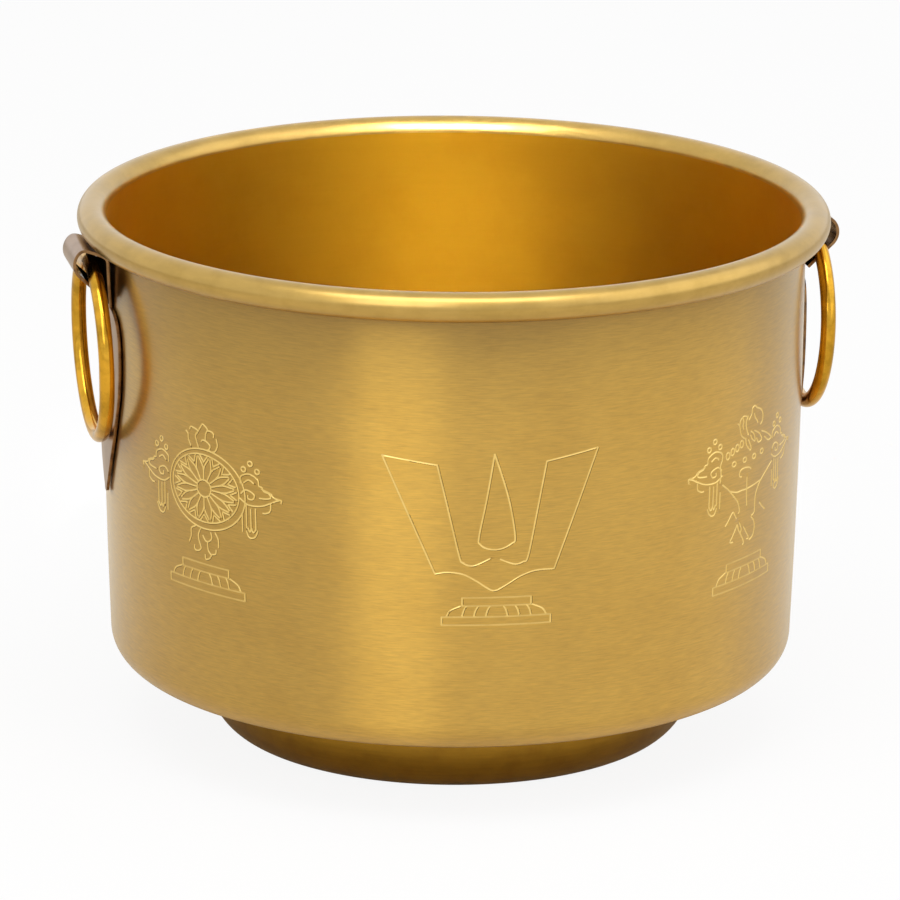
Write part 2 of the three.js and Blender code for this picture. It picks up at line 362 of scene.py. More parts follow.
def brass(name):
    look = finishes[name]
    material = bpy.data.materials.new(name)
    material.use_nodes = True
    nodes, links = material.node_tree.nodes, material.node_tree.links
    metal = nodes["Principled BSDF"]
    metal.inputs["Metallic"].default_value = look.get("metal", 1.0)
    metal.inputs["Specular IOR Level"].default_value = look.get("shine", 0.5)
    metal.inputs["Anisotropic"].default_value = look["stretch"]
    metal.inputs["Anisotropic Rotation"].default_value = grain["brushTurn"]
    metal.inputs["Coat Weight"].default_value = look["lacquer"]
    metal.inputs["Coat Roughness"].default_value = look["lacquerBlur"]
    place = nodes.new("ShaderNodeTexCoord").outputs["Object"]

    # brush or spinning lines
    along = nodes.new("ShaderNodeMapping")
    along.inputs["Scale"].default_value = look["lines"]
    linePlace = turnedPlace(nodes, links, place) if look.get("turned") else place
    links.new(linePlace, along.inputs["Vector"])
    lines = addNoise(nodes, 1.0, grain["lineDetail"], grain["lineHarshness"])
    links.new(along.outputs[0], lines.inputs["Vector"])
    streak = addRange(nodes, grain["lineRange"], (1.0 - look["lineTone"], 1.0 + look["lineTone"]))
    links.new(lines.outputs["Fac"], streak.inputs["Value"])

    # tarnish and handling, in soft patches
    patchScale = 1 / mm / look["stainSize"]
    patches = addNoise(nodes, patchScale, grain["stainDetail"], grain["stainHarshness"])
    links.new(place, patches.inputs["Vector"])
    tone = nodes.new("ShaderNodeValToRGB")
    stops = zip(tone.color_ramp.elements, grain["stainRange"], ("stain", "colour"))
    for stop, position, key in stops:
        stop.position = position
        stop.color = (*look[key], 1)
    links.new(patches.outputs["Fac"], tone.inputs["Fac"])
    colour = scaled(nodes, links, tone.outputs["Color"], streak.outputs[0])
    # painted shade under the rolled rim: the wall's colour darkens towards the top of the wall
    if "paintedRimShade" in look:
        low, high, share = look["paintedRimShade"]
        upright = nodes.new("ShaderNodeSeparateXYZ")
        links.new(place, upright.inputs[0])
        rimShadeFactor = addRange(nodes, (low * mm, high * mm), (1.0, share))
        rimShadeFactor.interpolation_type = "SMOOTHSTEP"
        links.new(upright.outputs["Z"], rimShadeFactor.inputs["Value"])
        colour = scaled(nodes, links, colour, rimShadeFactor.outputs[0])
    links.new(colour, metal.inputs["Base Color"])

    polish = addRange(nodes, grain["lineRange"], look["roughness"])
    links.new(lines.outputs["Fac"], polish.inputs["Value"])
    links.new(polish.outputs[0], metal.inputs["Roughness"])

    grooves = nodes.new("ShaderNodeBump")
    grooves.inputs["Strength"].default_value = 1.0
    grooves.inputs["Distance"].default_value = look["lineDepth"] * mm
    links.new(lines.outputs["Fac"], grooves.inputs["Height"])
    links.new(grooves.outputs[0], metal.inputs["Normal"])

    if look["stretch"]:
        brushedRound = nodes.new("ShaderNodeTangent")
        brushedRound.direction_type = "RADIAL"
        brushedRound.axis = "Z"
        links.new(brushedRound.outputs[0], metal.inputs["Tangent"])
    return material


# Shared shape helpers

def arc(centre, radius, start, end, steps):
    points = []
    for i in range(steps + 1):
        angle = math.radians(start + (end - start) * i / steps)
        points.append((centre[0] + radius * math.cos(angle), centre[1] + radius * math.sin(angle)))
    return points


def aroundPoint(radius, height, angle):
    # angle in radians from the front of the bucket, towards its right-hand handle
    return Vector((radius * math.sin(angle), -radius * math.cos(angle), height)) * mm


def newPiece(name, bm):
    bmesh.ops.recalc_face_normals(bm, faces=bm.faces)
    mesh = bpy.data.meshes.new(name)
    bm.to_mesh(mesh)
    bm.free()
    piece = bpy.data.objects.new(name, mesh)
    bpy.context.scene.collection.objects.link(piece)
    return piece


def finishPiece(piece, materialNames, body, node, sharpAngle=40.0):
    mesh = piece.data
    mesh.shade_smooth()
    mesh.set_sharp_from_angle(angle=math.radians(sharpAngle))
    for materialName in materialNames:
        mesh.materials.append(bpy.data.materials.get(materialName) or brass(materialName))
    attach(piece, body)
    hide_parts(node)
    print(piece.name, "made with", len(mesh.polygons), "faces")


def spin(bm, profile, steps, skip=None):
    # profile: radius, height and material index of the band that starts there; it closes on itself
    rings = []
    for radius, height, _ in profile:
        if radius < 1e-6:
            rings.append([bm.verts.new((0, 0, height * mm))])
        else:
            turns = [math.tau * k / steps for k in range(steps)]
            rings.append([bm.verts.new(aroundPoint(radius, height, turn)) for turn in turns])
    for i, (_, height, finish) in enumerate(profile):
        here = rings[i]
        there = rings[(i + 1) % len(rings)]
        if len(here) == 1 and len(there) == 1:
            continue
        nextHeight = profile[(i + 1) % len(profile)][1]
        for k in range(steps):
            if skip and skip(height, nextHeight, k, finish):
                continue
            n = (k + 1) % steps
            if len(here) == 1:
                corners = (here[0], there[k], there[n])
            elif len(there) == 1:
                corners = (here[k], there[0], here[n])
            else:
                corners = (here[k], there[k], there[n], here[n])
            bm.faces.new(corners).material_index = finish


# Vessel: one spun sheet from the bottom to the rolled rim

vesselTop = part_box("vessel")[1].z / mm
vesselFinishes = [
    "brushedWall", "polishedRim", "spunInside", "underside",
    "brightCut", "cutShade", "levelCut", "turnedFloor",
]
vessel = {
    "beadCentre": (96.1, 140.7),
    "sheet": 1.2,
    "wallTop": 93.4,          # outside radius at the rim
    "wallBase": 91.55,        # outside radius above the corner
    "belly": 0.65,
    "cornerRadius": 8.0,
    "cornerHeight": 28.0,
    "undersideSlope": 8.0,
    "baseRadius": 62.0,
    "rimGap": 0.3,            # between the rolled edge and the wall
    "bottomRings": (20.0, 42.0),
    "cornerSteps": 14,
    "cornerPolished": 4,      # how many of those steps have the underside's finish
    "rolledSteps": (32, 48),  # inside and outside of the rolled rim
    "turns": 360,
    "weld": 0.002,
}
vessel["beadRadius"] = vesselTop - vessel["beadCentre"][1]

engraved = {
    "low": 51.0, "high": 108.0,         # the band of the wall that holds the figures
    "rowStep": 1.5,
    "rowsBelow": 6, "rowsAbove": 10,    # rows of the wall under and over the band
    "from": -80, "to": 80,              # degrees round from the front
    "unrolledRadius": 93.0,
    "halfWidth": 0.22,
    "depth": 0.12,
    "burr": 0.02,
    "burrWidth": 0.18,
    "shadeSide": (0.8, -0.6),           # across a cut, towards the side that gets painted shade
    "shadeShare": 0.75,                 # the painted shade starts at this share of the half width
    "brightShare": 0.95,                # the bright part ends at this one
    "litFrom": 25,                      # from this many degrees on, both sides of a cut are bright, with no painted shade
    "levelShare": 0.6,                  # how deep the seats' level lines are beside the others
    "sampleStep": 0.1,
    "pointStep": 0.3,
    "crowding": 0.03,                   # how much nearer another stroke may lie to a point
    "cell": 0.09,                       # no two points of the cuts share a cell of this size
    "clear": 0.25,                      # plain points stay this far from the burrs
    "merge": 0.00001,
    "touch": 0.01,
}


def wallRadius(height):
    v = vessel
    up = (height - v["cornerHeight"]) / (v["beadCentre"][1] - v["cornerHeight"])
    return v["wallBase"] + up * (v["wallTop"] - v["wallBase"]) + 4 * up * (1 - up) * v["belly"]


def wallHeights():
    # row heights up the wall, close together in the engraved band
    v, e = vessel, engraved
    below = e["low"] - v["cornerHeight"]
    heights = [v["cornerHeight"] + below * i / e["rowsBelow"] for i in range(e["rowsBelow"])]
    rows = round((e["high"] - e["low"]) / e["rowStep"])
    heights += [e["low"] + e["rowStep"] * i for i in range(rows + 1)]
    above = v["beadCentre"][1] - e["high"]
    heights += [e["high"] + above * i / e["rowsAbove"] for i in range(1, e["rowsAbove"] + 1)]
    return heights


def vesselProfile():
    v = vessel
    outside, rim, inside, under, floor = (
        vesselFinishes.index(name)
        for name in ("brushedWall", "polishedRim", "spunInside", "underside", "turnedFloor")
    )
    slope = math.radians(v["undersideSlope"])
    cornerStart = v["undersideSlope"] - 90
    cornerCentre = (v["wallBase"] - v["cornerRadius"], v["cornerHeight"])
    corner = arc(cornerCentre, v["cornerRadius"], cornerStart, 0, v["cornerSteps"])
    innerRadius = v["cornerRadius"] - v["sheet"]
    innerCorner = arc(cornerCentre, innerRadius, 0, cornerStart, v["cornerSteps"])
    base = corner[0][1] - (corner[0][0] - v["baseRadius"]) * math.tan(slope)
    floorHeight = base + v["sheet"] / math.cos(slope)
    bottom = (0, *v["bottomRings"], v["baseRadius"])

    # the rim rolls outwards and down, and ends a little off the wall
    rolled = v["beadRadius"] - v["sheet"]
    opening = math.degrees(math.acos((rolled - v["rimGap"]) / v["beadRadius"]))
    innerSteps, outerSteps = v["rolledSteps"]
    rolledInside = arc(v["beadCentre"], rolled, 180, opening - 180, innerSteps)
    rolledOutside = arc(v["beadCentre"], v["beadRadius"], opening - 180, 180, outerSteps)

    heights = wallHeights()
    innerHeights = [v["beadCentre"][1]] + heights[-2::-2]
    points = [(r, base, under) for r in bottom]
    points += [(r, z, under) for r, z in corner[:v["cornerPolished"]]]
    points += [(r, z, outside) for r, z in corner[v["cornerPolished"]:-1]]
    points += [(wallRadius(z), z, outside) for z in heights[:-1]]
    points += [(r, z, rim) for r, z in rolledInside + rolledOutside[:-1]]
    points += [(wallRadius(z) - v["sheet"], z, inside) for z in innerHeights[:-1]]
    points += [(r, z, inside) for r, z in innerCorner]
    points += [(r, floorHeight, floor) for r in reversed(bottom)]
    return points


# The engraved figures on the unrolled wall: millimetres to the right of each one's place, and height

seat = {"neck": 2.2, "bowl": 3.0, "slab": 2.2, "petals": 3}
wheel = {
    "centre": (4.5, 84.0), "size": (13.7, 10.7), "innerSize": (12.1, 9.1),
    "hub": (4.1, 84.2), "hubSize": (2.6, 2.3), "spokeReach": (12.0, 9.3), "petals": 16,
}


def smooth(points, steps=8):
    # a curve through the points
    if len(points) < 3:
        return points
    ends = [points[0]] + list(points) + [points[-1]]
    curve = []
    for a, b, c, d in zip(ends, ends[1:], ends[2:], ends[3:]):
        for i in range(steps):
            t = i / steps
            curve.append(tuple(
                0.5 * (
                    2 * q + (r - p) * t
                    + (2 * p - 5 * q + 4 * r - s) * t * t
                    + (3 * q - p - 3 * r + s) * t ** 3
                )
                for p, q, r, s in zip(a, b, c, d)
            ))
    return curve + [points[-1]]


def ringStroke(x, z, width, height):
    steps = max(8, int((width + height) * 3))
    angles = [math.radians(360 * i / steps) for i in range(steps + 1)]
    return [(x + width * math.cos(a), z + height * math.sin(a)) for a in angles]


def flipped(stroke, middle):
    return [(2 * middle - x, z) for x, z in stroke]


def lotusSeat(middle, top, topWidth, slabWidth):
    # the low lotus seat under each figure: upright cuts, and level lines that are cut lighter
    half, out = topWidth / 2, slabWidth / 2
    low = top - seat["neck"]
    foot = low - seat["bowl"]
    ground = foot - seat["slab"]
    upright = [[(x, low), (x, top)] for x in (middle - half, middle + half)]
    gap = half * 1.03 / seat["petals"]
    for i in range(seat["petals"]):
        x = middle + gap * (i + 0.55)
        petal = smooth([(x, low), (x + 0.7, low - 1.2), (x + 1.1, foot + 0.3)], 4)
        upright += [petal, flipped(petal, middle)]
    x = middle + half
    side = smooth([(x + 0.4, low), (x + 3.0, low - 1.2), (x + 4.0, foot + 0.2)], 6)
    upright += [side, flipped(side, middle)]
    upright += [[(x, foot), (x, ground)] for x in (middle - out, middle + out)]
    widths = ((half, top), (half, low), (out, foot), (out, ground))
    level = [[(middle - width, z), (middle + width, z)] for width, z in widths]
    return upright, level


def flameSide(x, z, away):
    # the tasselled flame beside wheel and conch: three drops, a curled crown, a leaf and ribbons
    def at(points):
        return [(x + away * px, z + pz) for px, pz in points]

    drops = ((0.9, 8.2), (-1.2, 6.4), (3.1, 6.4))
    strokes = [ringStroke(x + away * px, z + pz, 0.75, 0.7) for px, pz in drops]
    strokes += [
        smooth(at([(-2.2, 2.6), (-2.0, 4.4), (0.6, 5.4), (3.2, 4.3), (3.6, 2.6)])),
        smooth(at([(-1.0, 2.9), (0.5, 3.8), (2.1, 3.0)])),
        smooth(at([(3.6, 2.6), (4.6, 2.4), (5.1, 1.5), (6.6, 1.1), (7.2, 0.1), (6.0, -0.4),
                   (3.6, -0.6)])),
        smooth(at([(-2.0, -0.2), (-0.8, 0.9), (0.8, 0.8), (2.2, -0.1), (1.6, -1.3), (0.2, -1.2),
                   (0.2, -0.3)])),
        smooth(at([(-2.4, -1.6), (0.2, -2.9), (4.0, -2.7), (7.0, -1.5), (9.0, -0.5), (10.4, -0.2),
                   (10.2, -1.2)])),
        smooth(at([(4.6, 1.9), (7.0, 1.2), (8.2, 0.2), (10.4, -0.2)])),
        smooth(at([(7.2, -2.0), (7.0, -3.6), (5.6, -4.4), (4.6, -4.4)])),
    ]
    ribbons = ((-0.4, -3.4, -9.2), (1.0, -3.9, -9.0), (2.5, -3.8, -9.4), (-1.7, -6.0, -10.6))
    for px, top, foot in ribbons:
        strokes.append(at([(px, top), (px + 0.1, foot)]))
    strokes += [
        smooth(at([(-0.4, -10.0), (0.2, -11.4), (1.2, -11.8), (2.4, -11.2), (3.2, -9.6)])),
        smooth(at([(0.2, -9.2), (0.7, -10.2), (1.2, -9.2)])),
        smooth(at([(1.2, -9.2), (1.8, -10.2), (2.5, -9.4)])),
    ]
    return strokes


def namam():
    # the three upright marks, over a lotus seat
    strokes = [
        [(-29.8, 100.6), (-16.1, 69.4)],
        smooth([(-15.7, 98.5), (-12.7, 86.0), (-9.9, 74.2), (-9.0, 72.5), (-7.3, 71.7), (-5.4, 71.9),
                (-1.8, 73.6)]),
        smooth([(0.6, 73.3), (4.3, 71.9), (6.6, 72.4), (7.9, 74.0), (10.1, 86.0), (12.4, 98.9)]),
        [(26.2, 101.4), (14.8, 70.0)],
        [(-29.8, 100.6), (-15.7, 98.5)],
        [(12.4, 98.9), (26.2, 101.4)],
        smooth([(-16.1, 69.4), (-13.0, 69.9), (-9.0, 69.4), (-5.4, 67.5), (-2.6, 65.6), (-0.6, 64.9),
                (2.2, 66.3), (6.0, 68.6), (10.0, 69.9), (14.8, 70.0)]),
        smooth([(-1.1, 101.4), (-3.0, 89.5), (-4.9, 79.3), (-4.5, 77.3), (-2.4, 76.1), (0.6, 76.0),
                (3.5, 77.4), (4.4, 79.3), (2.6, 89.5), (-1.1, 101.4)]),
    ]
    return strokes, lotusSeat(-0.1, 63.0, 17.9, 28.4)


def chakra():
    # the flaming wheel
    w = wheel
    strokes = [
        ringStroke(*w["centre"], *w["size"]),
        ringStroke(*w["hub"], *w["innerSize"]),
        ringStroke(*w["hub"], *w["hubSize"]),
    ]

    def spoke(share, turn):
        hub, reach = w["hub"], w["spokeReach"]
        return (
            hub[0] + reach[0] * share * math.cos(turn),
            hub[1] + reach[1] * share * math.sin(turn),
        )

    half = math.pi / w["petals"]
    for i in range(w["petals"]):
        turn = math.tau * i / w["petals"]   # between two petals, whose edges are one line near the hub
        strokes.append([spoke(0.25, turn), spoke(0.50, turn)])
        for way in (-half, half):
            shoulder = spoke(0.66, turn + 0.25 * way)
            petal = [spoke(0.50, turn), shoulder, spoke(0.88, turn + 0.85 * way)]
            strokes.append(smooth(petal, 5))
        strokes.append([spoke(0.95, turn - 0.12), spoke(0.76, turn), spoke(0.95, turn + 0.12)])
    strokes += [
        smooth([(-2.6, 98.6), (-1.7, 97.8), (-1.5, 96.3), (-0.6, 94.7)]),
        smooth([(-1.0, 99.0), (-0.6, 99.9), (0.8, 99.8), (2.2, 99.2), (1.2, 97.9), (1.6, 96.4),
                (2.2, 95.0)]),
        smooth([(2.2, 99.2), (2.9, 100.2), (3.8, 101.4), (4.9, 101.0), (5.6, 100.2), (5.0, 99.0),
                (4.8, 97.6)]),
        smooth([(3.2, 96.5), (3.9, 97.2), (5.3, 97.0), (6.5, 96.1), (6.2, 95.2), (5.6, 94.7)]),
        smooth([(5.6, 100.0), (7.0, 100.0), (7.8, 99.4), (7.7, 98.4)]),
        smooth([(8.7, 98.4), (9.1, 96.6), (8.3, 95.0), (7.0, 94.5)]),
        smooth([(0.6, 73.3), (-0.9, 72.4), (-1.0, 70.4), (-1.9, 68.4)]),
        smooth([(2.6, 72.9), (1.8, 71.3), (2.0, 69.6), (2.7, 67.7), (1.5, 66.8), (0.3, 67.0),
                (0.3, 68.2)]),
        smooth([(3.4, 71.4), (4.4, 70.1), (5.6, 70.1), (6.7, 71.2), (6.4, 72.6)]),
        smooth([(5.1, 69.9), (5.4, 67.6), (6.4, 66.5), (5.6, 65.4), (4.4, 65.1), (4.2, 66.4)]),
        smooth([(8.0, 72.8), (9.0, 71.2), (9.1, 69.0)]),
        smooth([(8.2, 68.4), (8.0, 67.2), (6.8, 66.8)]),
    ]
    strokes += flameSide(18.9, 85.6, 1) + flameSide(-12.2, 85.6, -1)
    return strokes, lotusSeat(3.9, 63.6, 17.0, 27.6)


def shankha():
    # the conch, point downwards, with its flames
    tallSeeds = ((-13.1, 91.8), (-11.1, 92.5), (-9.1, 93.1), (-7.1, 93.7))
    flatSeeds = ((-10.3, 89.0), (-5.4, 89.1), (-0.8, 89.0), (3.3, 89.4))
    strokes = [ringStroke(x, z, 0.8, 1.0) for x, z in tallSeeds]
    strokes += [ringStroke(x, z, 0.9, 0.7) for x, z in flatSeeds]
    strokes += [
        smooth([(-9.2, 99.7), (-8.4, 98.9), (-8.0, 97.5), (-7.3, 96.0), (-5.7, 94.8)]),
        smooth([(-8.4, 98.9), (-8.0, 100.2), (-7.2, 100.9), (-6.2, 101.1), (-4.4, 100.5)]),
        smooth([(-4.4, 100.5), (-5.1, 99.7), (-5.3, 98.4), (-4.8, 96.8), (-4.1, 95.5)]),
        smooth([(-7.0, 100.8), (-6.5, 99.6), (-6.8, 98.6), (-6.3, 97.3)]),
        smooth([(-3.9, 99.5), (-3.2, 100.3), (-2.6, 101.0), (-2.4, 102.3), (-1.2, 102.8), (0.0, 102.0),
                (2.0, 101.1), (3.2, 99.6), (3.1, 97.8), (2.0, 96.9)]),
        smooth([(-1.3, 100.8), (-1.0, 99.7), (0.1, 98.5), (0.7, 97.7)]),
        smooth([(-2.9, 96.3), (-1.2, 95.0), (-0.6, 93.1), (-2.2, 94.0), (-2.9, 95.2)]),
        smooth([(-1.0, 96.0), (1.5, 94.7), (3.0, 92.8), (1.2, 92.3), (0.2, 93.7)]),
        smooth([(2.9, 95.0), (5.8, 93.8), (8.7, 91.9), (6.8, 91.6), (4.5, 93.1)]),
        smooth([(-5.3, 94.8), (-4.8, 92.9), (-3.0, 91.2), (-2.6, 91.9), (-4.0, 94.2)]),
        smooth([(-15.5, 91.0), (-16.1, 89.6), (-15.8, 87.3), (-16.1, 85.0)]),
        smooth([(-15.0, 84.4), (-12.5, 82.5), (-10.6, 80.7), (-8.2, 78.3), (-7.2, 75.8), (-7.6, 74.9)]),
        smooth([(9.8, 85.2), (6.4, 83.4), (3.4, 81.6), (1.6, 79.8), (0.6, 78.0), (0.4, 75.8),
                (0.3, 73.5), (-1.1, 72.9)]),
        smooth([(-11.4, 81.8), (-8.7, 81.0), (-6.4, 81.0), (-3.9, 80.9), (0.0, 81.2), (3.4, 81.6)]),
        smooth([(-4.1, 84.1), (-4.0, 81.0), (-4.0, 78.7), (-3.7, 76.1)]),
        smooth([(-6.4, 84.7), (-7.5, 85.0), (-7.7, 85.8), (-7.0, 86.7), (-5.2, 86.9), (-3.1, 86.5),
                (-1.9, 85.7)]),
        smooth([(-13.3, 72.7), (-12.1, 73.8), (-10.6, 75.5), (-9.9, 75.8), (-9.1, 74.7), (-8.2, 73.5)]),
        smooth([(-9.4, 67.6), (-10.9, 67.8), (-9.9, 69.2), (-8.5, 71.1), (-7.9, 71.9), (-7.3, 70.4),
                (-6.0, 68.7), (-4.6, 66.5), (-5.1, 65.8)]),
        smooth([(-7.0, 72.3), (-6.0, 70.5), (-6.3, 69.4)]),
        smooth([(-4.9, 70.7), (-3.6, 69.0), (-2.2, 67.1), (-3.2, 67.0)]),
        smooth([(-1.3, 72.5), (0.1, 71.3), (0.7, 69.3), (0.0, 67.2), (-1.6, 66.4)]),
        smooth([(3.0, 75.4), (4.6, 74.0), (6.4, 72.8)]),
    ]
    strokes += flameSide(-17.6, 88.6, -1) + flameSide(11.6, 88.6, 1)
    return strokes, lotusSeat(-3.6, 62.0, 17.0, 27.6)


figures = [(-4.6, namam), (-57.9, chakra), (46.2, shankha)]   # degrees round from the front


def allStrokes():
    # every stroke, with its share of the full depth
    radius = engraved["unrolledRadius"]
    strokes = []
    for degrees, draw in figures:
        place = math.radians(degrees) * radius
        figure, (upright, level) = draw()
        for share, group in ((1.0, figure + upright), (engraved["levelShare"], level)):
            strokes += [(share, [Vector((place + x, z)) for x, z in stroke]) for stroke in group]
    return strokes


def resample(stroke, step):
    # points along a stroke, and the way across it at each
    points = []
    for a, b in zip(stroke, stroke[1:]):
        length = (b - a).length
        if length < 1e-9:
            continue
        across = Vector((a.y - b.y, b.x - a.x)) / length
        count = max(1, math.ceil(length / step))
        points += [(a.lerp(b, i / count), across) for i in range(count)]
    points.append((stroke[-1], points[-1][1]))
    return points


def engraveWall(bm, heights):
    e = engraved
    half = e["halfWidth"]
    ridge = half + e["burrWidth"] / 2
    outer = half + e["burrWidth"]
    perDegree = math.radians(1) * e["unrolledRadius"]
    strokes = allStrokes()
    samples = [(p, share) for share, stroke in strokes for p, _ in resample(stroke, e["sampleStep"])]
    tree = kdtree.KDTree(len(samples))
    for i, (p, _) in enumerate(samples):
        tree.insert((p.x, p.y, 0), i)
    tree.balance()

    def nearestCut(x, z):
        # the nearest point on a cut, the share of the full depth there, and how far away it is
        place, index, distance = tree.find((x, z, 0))
        return place.xy, samples[index][1], distance

    def raised(x, z):
        _, share, distance = nearestCut(x, z)
        if distance < half:
            return -e["depth"] * (1 - distance / half) * share
        return e["burr"] * max(0.0, 1 - abs(distance - ridge) / (e["burrWidth"] / 2)) * share

    taken = set()

    def claim(x, z):
        key = (round(x / e["cell"]), round(z / e["cell"]))
        near = [(key[0] + i, key[1] + j) for i in (-1, 0, 1) for j in (-1, 0, 1)]
        if any(k in taken for k in near):
            return False
        taken.add(key)
        return True

    # the outline of the band, point by point as on the wall around it
    rows = [z for z in heights if e["low"] - e["touch"] <= z <= e["high"] + e["touch"]]
    left, right = e["from"], e["to"]
    points = [(k * perDegree, z) for z in (rows[0], rows[-1]) for k in range(left, right + 1)]
    points += [(k * perDegree, z) for k in (left, right) for z in rows[1:-1]]
    # the middle, the edges and the burrs of the cuts
    for offset in (0, half, -half, outer, -outer, ridge, -ridge):
        for _, stroke in strokes:
            for p, across in resample(stroke, e["pointStep"]):
                q = p + across * offset
                if offset and nearestCut(q.x, q.y)[2] < abs(offset) - e["crowding"]:
                    continue
                if claim(q.x, q.y):
                    points.append((q.x, q.y))
    # plain wall between them
    for z in rows[1:-1]:
        for k in range(left + 1, right):
            for x in (k * perDegree, (k + 0.5) * perDegree):
                if nearestCut(x, z)[2] > outer + e["clear"]:
                    points.append((x, z))

    spots = [Vector(p) for p in points]
    flat, _, triangles = geometry.delaunay_2d_cdt(spots, [], [], 0, e["merge"])[:3]
    verts = []
    for p in flat:
        lift = raised(p.x, p.y) if rows[0] < p.y < rows[-1] else 0.0
        radius = wallRadius(p.y) + lift
        verts.append(bm.verts.new(aroundPoint(radius, p.y, p.x / e["unrolledRadius"])))
    bright, shade, level = (
        vesselFinishes.index(name) for name in ("brightCut", "cutShade", "levelCut")
    )
    shadeSide = Vector(e["shadeSide"])
    for corners in triangles:
        face = bm.faces.new([verts[i] for i in corners])
        middle = sum((flat[i] for i in corners), Vector((0, 0))) / len(corners)
        place, share, distance = nearestCut(middle.x, middle.y)
        full = share == 1.0
        # painted shade: faces on the shaded side of a full cut, nearer the front than litFrom, take
        # cutShade
        inShade = (middle - place).dot(shadeSide) > half * e["shadeShare"]
        if full and inShade and distance < outer and middle.x < e["litFrom"] * perDegree:
            face.material_index = shade
        elif distance < half * e["brightShare"]:
            face.material_index = bright if full else level
    print("engraved", len(strokes), "strokes with", len(verts), "points")


def addVessel():
    bm = bmesh.new()
    e = engraved
    steps = vessel["turns"]

    def inBand(height, nextHeight, k, finish):
        degrees = k if k < steps / 2 else k - steps
        low, high = sorted((height, nextHeight))
        level = e["low"] - e["touch"] <= low and high <= e["high"] + e["touch"]
        return finish == 0 and level and e["from"] <= degrees < e["to"]

    spin(bm, vesselProfile(), steps, inBand)
    engraveWall(bm, wallHeights())
    bmesh.ops.remove_doubles(bm, verts=bm.verts, dist=vessel["weld"] * mm)
    loose = [v for v in bm.verts if not v.link_faces]
    bmesh.ops.delete(bm, geom=loose, context="VERTS")
    finishPiece(newPiece("spun_vessel", bm), vesselFinishes, "bucket", "vessel")


# Foot: a second spun sheet, flared under the vessel and turned in below

foot = {
    "sheet": 1.2, "neck": 66.1, "rest": 55.2, "lip": 48.0,
    "cove": 2.6, "coveEnd": 92, "flangeEdge": 0.3, "seat": 0.3, "lipEase": 0.3,
    "flangeNose": [(-0.05, -0.25), (0.0, -0.15), (-0.1, -0.03)],   # outwards and up from its top edge
    "curveSteps": 28, "coveSteps": 12, "turns": 300,
}


def undersideHeight(radius):
    v = vessel
    slope = math.radians(v["undersideSlope"])
    start = v["wallBase"] - v["cornerRadius"] + v["cornerRadius"] * math.sin(slope)
    height = v["cornerHeight"] - v["cornerRadius"] * math.cos(slope)
    return height - (start - max(radius, v["baseRadius"])) * math.tan(slope)


def addFoot():
    f = foot
    flange = f["neck"] + f["cove"]
    neckHeight = undersideHeight(flange) - f["seat"] - f["flangeEdge"] - f["cove"]

    def quarter(inset):
        # the foot's side, from where it stands up to its neck
        points = []
        for i in range(f["curveSteps"] + 1):
            angle = i / f["curveSteps"] * math.pi / 2
            points.append((
                f["rest"] + (f["neck"] - f["rest"] - inset) * math.sin(angle),
                neckHeight - (neckHeight - inset) * math.cos(angle),
            ))
        return points

    points = [(f["lip"] + f["lipEase"], 0)] + quarter(0)
    points += arc((flange, neckHeight), f["cove"], 180, f["coveEnd"], f["coveSteps"])[1:]
    top = undersideHeight(flange) - f["seat"]
    points += [(flange + out, top + up) for out, up in f["flangeNose"]]
    innerTop = f["neck"] - f["sheet"]
    points += [(innerTop, undersideHeight(innerTop) - f["seat"])]
    points += reversed(quarter(f["sheet"]))
    points += [(f["lip"] + f["lipEase"], f["sheet"])]
    points += [(f["lip"], f["sheet"] - f["lipEase"]), (f["lip"], f["lipEase"])]
    bm = bmesh.new()
    spin(bm, [(r, z, 0) for r, z in points], f["turns"])
    finishPiece(newPiece("spun_foot", bm), ["spunFootPaintedShade"], "bucket", "foot_ring")


# Hangers: one sheet each, a leaf on the wall with a strap rolled into a loop above it

hangerFinishes = ["hangerSheet", "hangerInsidePaintedShade", "hangerEdge", "hangerShade"]
hanger = {
    "sheet": 0.8, "stand": 0.3, "strapHalf": 9.0,
    "loopCentre": (98.8, 133.5), "loopRadius": 4.4, "loopReturn": 47.0, "squareness": 8.0,
    "rimRadius": 3.9,         # of the rolled rim, which flattens the loop below it
    "strapFoot": 118.7, "leafTop": 121.7, "leafLength": 52.6, "leafHalf": 16.7, "tip": 1.5,
    "edgeEase": 0.16, "easedFrom": 50.0, "sharpFrom": 45.0,
    "loopSteps": 72, "returnSteps": 6, "strapSteps": 12, "leafSteps": (16, 12, 12), "tipSteps": 8,
    "columns": 24,
    "edgeFacing": 0.6,        # how squarely a face looks sideways where the cut edge's finish starts
    "insideReach": 7.0,       # beyond the loop's radius, where the painted shade inside the loop ends
    "shadeReach": 1.5,        # outwards from the loop's middle, where the near black painted shade ends
}


